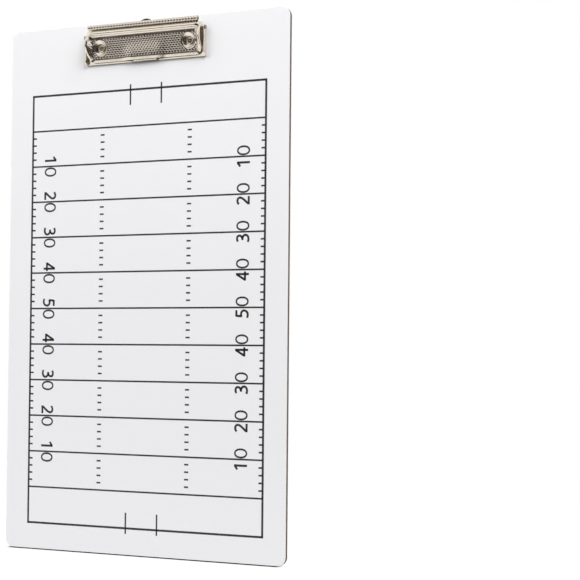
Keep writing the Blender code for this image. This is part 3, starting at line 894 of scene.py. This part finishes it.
def lever_point(row, x, side, weight, past_hem, hollow):
    """A place on the pressing's middle sheet and the share of a pit there: x, down, rise, share."""
    along, down, rise, crest, bottom = row
    place = side * x
    if weight <= 1.0:
        height = rise + lip_lift(place, down) + weight * (crest - rise)
    else:
        height = crest - (weight - 1.0) * max(crest - bottom, 0.1)
    if past_hem and side < 0 and x >= WALL_FOOT:
        out = (x - WALL_FOOT) / (CREST_HALF - WALL_FOOT)
        stay = 1.0 if weight <= 1.0 else 1.0 - ease(weight - 1.0)
        place -= END_BULGE * out * stay * ease((crest - rise - 0.2) / 2.0)
    if past_hem and x > WALL_FOOT - 6.0:
        share = min((x - (WALL_FOOT - 6.0)) / (LEVER_HALF - WALL_FOOT + 6.0), 1.0)
        place -= side * corner_inset(down) * share
    reach = funnel(place, down)
    if past_hem and reach < FUNNEL_RIM:
        share = (FUNNEL_RIM - reach) / (FUNNEL_RIM - FUNNEL_HOLE)
        height -= FUNNEL_DEPTH * min(share * ease(share * 3.0), 1.0)
    hollow *= 0.0 if weight >= 0.8 else pit(place, along) * (1.0 - 0.7 * ease(weight * 2.0))
    if past_hem:
        hollow *= ease((down - EMBOSS_REAR) / 1.5) * ease((EMBOSS_FRONT - down) / 0.8)
        hollow *= ease((reach - FUNNEL_RIM) / 0.7)
    return place, down, height, hollow


def lever_grid(rows, hem_end, depth):
    """The pressing's middle sheet by row and column, where columns left of the middle are negative."""
    grid = []
    for number, row in enumerate(rows):
        before, after = rows[max(number - 1, 0)], rows[min(number + 1, len(rows) - 1)]
        slope = Vector((after[1] - before[1], after[2] - before[2])).normalized()
        # The pits go in towards the middle of the rolled hem, and down on the pocket's floor
        press = -depth if number < hem_end else depth
        embossed = 1.0 if number < hem_end - 2 or EMBOSS_REAR < row[1] < EMBOSS_FRONT else 0.0
        line = {}
        for index, (x, weight) in enumerate(columns(number < hem_end, *row[2:4])):
            for side in (1, -1) if x > 0.0 else (1,):
                place, down, height, hollow = lever_point(row, x, side, weight, number > hem_end, embossed)
                pressed = press * hollow
                line[side * index] = (place, down + pressed * slope.y, height - pressed * slope.x, hollow)
        grid.append(line)
    return grid


def lever_sheet(grid, hem_end):
    """Faces between neighbouring rows, but none in the funnels' mouths and no flange at the lip."""
    bm = bmesh.new()
    # Each point keeps its share of a pit, which the plated steel darkens as painted shade
    layer = bm.verts.layers.float.new(PIT_LAYER)
    made = []
    for line in grid:
        made.append({})
        for key, (x, down, height, hollow) in line.items():
            made[-1][key] = bm.verts.new(at(x, down, height))
            made[-1][key][layer] = hollow
    for number, (near, far) in enumerate(zip(made, made[1:])):
        shared = sorted(set(near) & set(far))
        for a, b in zip(shared, shared[1:]):
            start, end = grid[number][a], grid[number + 1][b]
            middle = [(p + q) / 2 for p, q in zip(start[:2], end[:2])]
            in_mouth = number > hem_end and funnel(*middle) < FUNNEL_HOLE
            at_lip = number > hem_end and start[1] > FLANGE_END
            on_flange = max(abs(a), abs(b)) > len(FLOOR_COLUMNS) + WALL_STEPS
            if b - a == 1 and not in_mouth and not (at_lip and on_flange):
                bm.faces.new((near[a], far[a], far[b], near[b]))
    bmesh.ops.delete(bm, geom=[vertex for vertex in bm.verts if not vertex.link_faces], context="VERTS")
    return bm


def round_mouths(bm):
    """Moves the edge of the funnels' mouths onto a circle."""
    for vertex in bm.verts:
        x = vertex.co.x / MM - CLIP_OFFSET
        down = BOARD_HEIGHT - vertex.co.z / MM
        reach = funnel(x, down)
        if vertex.is_boundary and reach < FUNNEL_HOLE + 0.6 and down > FLOOR_START:
            scale = FUNNEL_HOLE / reach
            middle = math.copysign(RIVET_OFFSET, x)
            vertex.co.x = (CLIP_OFFSET + middle + (x - middle) * scale) * MM
            vertex.co.z = (BOARD_HEIGHT - FUNNEL_DOWN - (down - FUNNEL_DOWN) * scale) * MM


class CLIPBOARD_OT_lever_plate(bpy.types.Operator):
    """Build the embossed lever plate: rolled hem, ridge, pocket, end walls, funnels and lip"""

    bl_idname = "clipboard.lever_plate"
    bl_label = "Lever plate"

    def execute(self, context):
        rows = even_rows(lever_rows(), EMBOSS_ALONG / 10)
        # The hem ends where the sheet leaves the barrel, 6 mm down and low
        hem_end = min(range(len(rows)), key=lambda i: abs(rows[i][1] - 6.0) + (rows[i][2] > 6.5) * 9)
        bm = lever_sheet(lever_grid(rows, hem_end, context.scene.clipboard_sizes.emboss_depth / MM), hem_end)
        round_mouths(bm)
        obj = add_object(bm, "lever_plate", "nickel", LEVER, ("clip_lever_plate",))
        solid = obj.modifiers.new("sheet", "SOLIDIFY")
        solid.thickness = (STEEL - 0.04) * MM
        solid.offset = 0.0
        apply_modifiers(obj)
        shade_by_angle(obj, 60.0)
        return {"FINISHED"}


class CLIPBOARD_OT_fixings(bpy.types.Operator):
    """Build the hinge pin and the two tubular rivets"""

    bl_idname = "clipboard.fixings"
    bl_label = "Pin and rivets"

    def execute(self, context):
        end = CLIP_HALF + 0.3 - WALL_LEAN / 2
        head = [(PIN_RADIUS, 0.0), (PIN_HEAD_RADIUS, 0.0), (PIN_HEAD_RADIUS, 0.3)]
        head += [(1.35, 0.52), (1.05, 0.66), (0.5, 0.7), (0.0, 0.7)]
        profile = [(radius, end + height) for radius, height in reversed(head)]
        profile += [(radius, -end - height) for radius, height in head]
        turned("hinge_pin_turned", profile, HINGE, (1, 0, 0), "wire", "hinge_pin")
        floor = -FACE + BASE_RISE + STEEL / 2 + 0.25
        back = FACE - 0.25
        ring = [(0.0, floor - 3.4), (1.25, floor - 3.4), (1.35, floor - 0.6), (1.5, floor + 0.1)]
        ring += [(1.62, floor + 0.45), (1.8, floor + 0.68), (2.05, floor + 0.8), (2.35, floor + 0.78)]
        ring += [(2.62, floor + 0.62), (2.78, floor + 0.4), (2.8, floor + 0.2), (2.65, floor + 0.02)]
        ring += [(2.0, floor - 0.05), (2.0, back), (3.85, back)]
        dome = [(3.98, -0.12), (3.99, -0.3), (3.88, -0.58), (3.6, -0.9), (3.15, -1.18), (2.55, -1.4)]
        dome += [(1.85, -1.54), (1.1, -1.59), (0.5, -1.6), (0.0, -1.6)]
        ring += [(radius, back + height) for radius, height in dome]
        for side, name in ((-1, "left"), (1, "right")):
            origin = at(side * RIVET_OFFSET, RIVET_DOWN, FACE)
            node = f"rivet_{name}"
            turned(f"rivet_turned_{name}", ring, origin, (0, -1, 0), "nickel", node)
        return {"FINISHED"}


class CLIPBOARD_OT_hanger(bpy.types.Operator):
    """Build the flat hanging tab"""

    bl_idname = "clipboard.hanger"
    bl_label = "Hanging tab"

    def execute(self, context):
        outline = []
        for step in range(33):
            angle = math.radians(180.0 - 180.0 * step / 32)
            outline.append((TAB_HALF * math.cos(angle), TAB_HOLE_DOWN - TAB_HALF * math.sin(angle)))
        foot = [(TAB_HALF, 20.4), (TAB_HALF + 1.0, 20.4), (TAB_HALF + 1.0, TAB_END)]
        outline += foot + [(-x, down) for x, down in reversed(foot)]
        bm = extrude([at(x, down, CLEARANCE) for x, down in outline], Vector((0.0, -STEEL * MM, 0.0)))
        obj = add_object(bm, "hanging_tab", "tab", HANGER, ("hanger_tab",))
        cut(obj, [cylinder_cutter(TAB_HOLE, 10.0, at(0.0, TAB_HOLE_DOWN, 0.7), (0, 1, 0))])
        break_edges(obj, 0.12, 40.0)
        return {"FINISHED"}


def spring_path(side, per_turn=24):
    """Centre line of one spring: base leg, coil round the pin, lever leg."""
    start = math.radians(BASE_LEG[0])
    end = math.radians(LEVER_LEG[0]) + COIL_TURNS * math.tau
    count = round((end - start) / math.tau * per_turn)
    points = []
    for step in range(count + 1):
        angle = start + (end - start) * step / count
        x = COIL_START + COIL_PITCH * (angle - start) / math.tau
        down = HINGE_DOWN + COIL_RADIUS * math.cos(angle)
        points.append(at(side * x, down, HINGE_RISE + COIL_RADIUS * math.sin(angle)))
    legs = []
    for angle, sign, length in ((start, -1, BASE_LEG[1]), (end, 1, LEVER_LEG[1])):
        along = Vector((0.0, -sign * math.cos(angle), sign * math.sin(angle))) * MM
        foot = points[0] if sign < 0 else points[-1]
        legs.append([foot + along * length * part for part in (0.25, 0.5, 0.75, 1.0)])
    return legs[0][::-1] + points + legs[1]


class CLIPBOARD_OT_springs(bpy.types.Operator):
    """Build the two torsion springs"""

    bl_idname = "clipboard.springs"
    bl_label = "Torsion springs"

    def execute(self, context):
        for side, name in ((-1, "left"), (1, "right")):
            curve = bpy.data.curves.new(f"spring wire {name}", "CURVE")
            curve.dimensions = "3D"
            curve.bevel_depth = WIRE_RADIUS * MM
            curve.bevel_resolution = 3
            curve.use_fill_caps = True
            points = spring_path(side)
            spline = curve.splines.new("POLY")
            spline.points.add(len(points) - 1)
            for point, place in zip(spline.points, points):
                point.co = (*place, 1.0)
            guide = scene_object("spring guide", curve)
            graph = context.evaluated_depsgraph_get()
            mesh = bpy.data.meshes.new_from_object(guide.evaluated_get(graph))
            bpy.data.objects.remove(guide, do_unlink=True)
            bm = bmesh.new()
            bm.from_mesh(mesh)
            bmesh.ops.remove_doubles(bm, verts=bm.verts, dist=0.0000005)
            node = f"torsion_spring_{name}"
            obj = add_object(bm, f"torsion_coil_{name}", "wire", None, (node,))
            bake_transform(obj)
        return {"FINISHED"}


# Camera at the photograph's viewing angle, solved from the board's corners
CAMERA_PLACE = (0.42199, -0.80678, 0.14945)
CAMERA_TURN = (91.399, -0.500, 20.770)
CAMERA_LENS = 76.338
CAMERA_SHIFT = (-0.5 / 580.0, 32.5 / 580.0)

# Studio, in metres: how far the white sweep reaches in front of the board, and the corners of
# the low dark screen behind the camera, the taller one beside it and the dark mat on the floor
TABLE_FRONT = 0.85
SCREENS = (
    ((-1.7, -2.4, 0.0), (3.2, -2.38, 0.52)),
    ((-0.2, -2.5, 0.0), (3.2, -2.48, 2.6)),
    ((-0.05, -2.4, 0.002), (3.2, -0.2, 0.004)),
)
# The lamps' places, targets and sizes, in metres, and their power in watts
LAMPS = (
    ("key", (1.5, -1.4, 2.2), (0.0, 0.0, 0.2), (1.7, 1.7), 66.0),
    ("fill", (-0.6, -0.95, 1.3), (0.0, 0.0, 0.4), (1.0, 1.0), 4.5),
    ("rear", (0.3, 1.6, 1.3), (0.0, 0.0, 0.2), (1.4, 1.0), 2.0),
)


def area_light(name, place, target, size, power):
    """A soft lamp that the plated steel doesn't mirror: it shows the white studio instead."""
    light = bpy.data.lights.new(name, "AREA")
    light.shape = "RECTANGLE"
    light.size, light.size_y = size
    light.energy = power
    obj = scene_object(name, light)
    obj.location = place
    obj.rotation_euler = (Vector(target) - Vector(place)).to_track_quat("-Z", "Y").to_euler()
    obj.visible_glossy = False


def ground(side, size):
    """A level sheet that ends at the sweep's front edge: side is 1 for the sweep, -1 for the room."""
    bm = bmesh.new()
    bmesh.ops.create_grid(bm, x_segments=8, y_segments=8, size=size / 2)
    bmesh.ops.translate(bm, verts=bm.verts, vec=(0.0, side * size / 2 - TABLE_FRONT, 0.0))
    return bm


class CLIPBOARD_OT_stage(bpy.types.Operator):
    """Set the pale floor, the white surroundings, the lamps and the camera"""

    bl_idname = "clipboard.stage"
    bl_label = "Stage"

    def execute(self, context):
        scene = context.scene
        size = scene.clipboard_sizes.floor_size
        floor = add_object(ground(1, size), "studio_floor", "sweep", None)
        # The room in front of the sweep is dark, which the clip's pocket mirrors
        bm = ground(-1, size)
        for low, high in SCREENS:
            block(bm, low, high)
        room = add_object(bm, "room_floor", "carpet", None)
        room.visible_camera = False
        scene.world = bpy.data.worlds.new("white studio")
        add = node_adder(scene.world)
        add("OutputWorld", {"Surface": glow(add, "Background", SKY_LIGHT)})
        for lamp in LAMPS:
            area_light(*lamp)
        camera = bpy.data.cameras.new("photo camera")
        camera.lens = CAMERA_LENS
        camera.shift_x, camera.shift_y = CAMERA_SHIFT
        camera.clip_start = 0.01
        scene.camera = scene_object("photo camera", camera)
        scene.camera.location = CAMERA_PLACE
        scene.camera.rotation_euler = [math.radians(angle) for angle in CAMERA_TURN]
        scene.view_settings.view_transform = "Standard"
        return {"FINISHED"}


class CLIPBOARD_PT_panel(bpy.types.Panel):
    """Sizes, colours and build steps of the clipboard"""

    bl_idname = "CLIPBOARD_PT_panel"
    bl_label = "Coach clipboard"
    bl_space_type = "VIEW_3D"
    bl_region_type = "UI"
    bl_category = "Clipboard"

    def draw(self, context):
        layout = self.layout
        for group in (context.scene.clipboard_sizes, context.scene.clipboard_colours):
            box = layout.box()
            for name in group.__annotations__:
                box.prop(group, name)
        for operator in STEPS:
            layout.operator(operator.bl_idname)


STEPS = (
    CLIPBOARD_OT_board,
    CLIPBOARD_OT_front_print,
    CLIPBOARD_OT_back_print,
    CLIPBOARD_OT_base_plate,
    CLIPBOARD_OT_lever_plate,
    CLIPBOARD_OT_fixings,
    CLIPBOARD_OT_hanger,
    CLIPBOARD_OT_springs,
    CLIPBOARD_OT_stage,
)
CLASSES = (ClipboardSizes, ClipboardColours, *STEPS, CLIPBOARD_PT_panel)


def register():
    for cls in CLASSES:
        bpy.utils.register_class(cls)
    bpy.types.Scene.clipboard_sizes = bpy.props.PointerProperty(type=ClipboardSizes)
    bpy.types.Scene.clipboard_colours = bpy.props.PointerProperty(type=ClipboardColours)


def unregister():
    del bpy.types.Scene.clipboard_colours
    del bpy.types.Scene.clipboard_sizes
    for cls in reversed(CLASSES):
        bpy.utils.unregister_class(cls)


def main():
    """Builds every piece."""
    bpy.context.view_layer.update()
    register()
    for step in STEPS:
        group, name = step.bl_idname.split(".")
        getattr(getattr(bpy.ops, group), name)()


if __name__ == "__main__":
    main()
